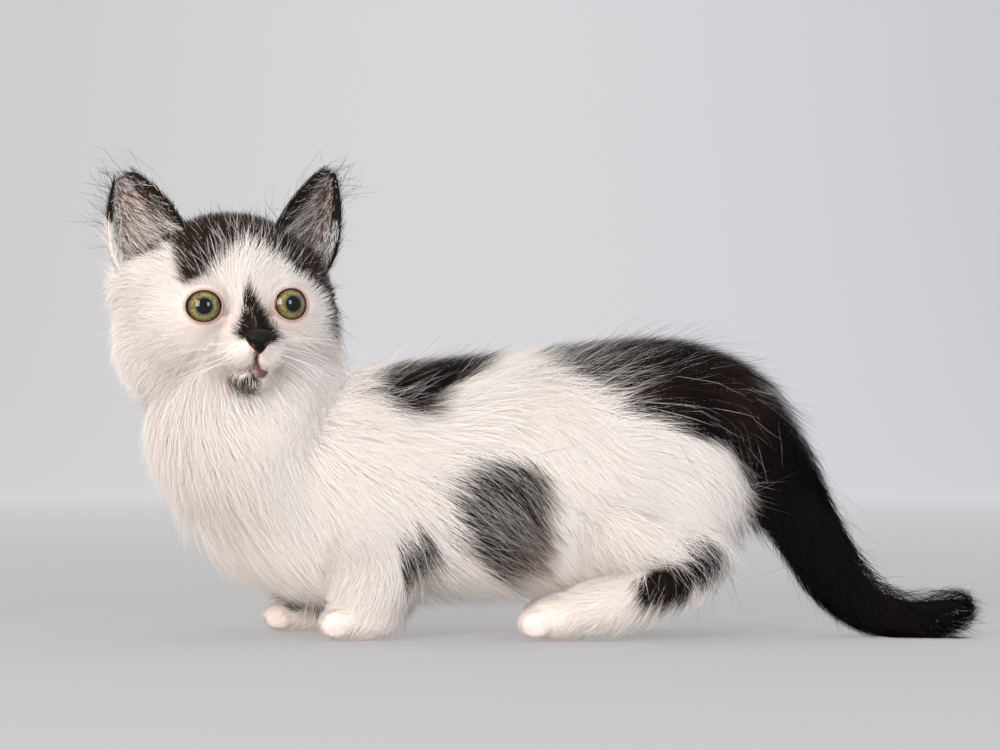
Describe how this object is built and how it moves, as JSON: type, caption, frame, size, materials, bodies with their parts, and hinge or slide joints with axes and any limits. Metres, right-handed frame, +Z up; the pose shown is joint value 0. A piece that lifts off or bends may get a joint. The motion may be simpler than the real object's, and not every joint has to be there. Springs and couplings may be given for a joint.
{
  "type": "munchkin kitten",
  "caption": "Life-size semi-longhaired munchkin kitten, a still model: long low body on short legs, big cupped ears, head turned to its left, tail laid on the floor.",
  "frame": {"origin": "on the floor, under the middle of the box that holds the whole kitten", "axes": "the kitten faces -X, its left side is towards -Y, +Z is up"},
  "size_m": [0.3478, 0.106, 0.1884],
  "materials": {
    "white_coat": "soft fur",
    "black_coat": "soft fur",
    "nose_leather": "moist, fine-grained",
    "eye": "clear and glossy"
  },
  "bodies": {
    "root": {"head": "white_coat", "neck": "white_coat", "torso": "white_coat", "foreleg_left": "white_coat", "foreleg_right": "white_coat", "forepaw_left": "white_coat", "forepaw_right": "white_coat", "thigh_left": "white_coat", "thigh_right": "white_coat", "hind_foot_left": "white_coat", "hind_foot_right": "white_coat", "hind_paw_left": "white_coat", "hind_paw_right": "white_coat", "tail_base": "black_coat", "tail_middle": "black_coat", "tail_tip": "black_coat", "ear_left": "black_coat", "ear_right": "black_coat", "nose": "nose_leather", "eye_left": "eye", "eye_right": "eye"}
  },
  "joints": []
}
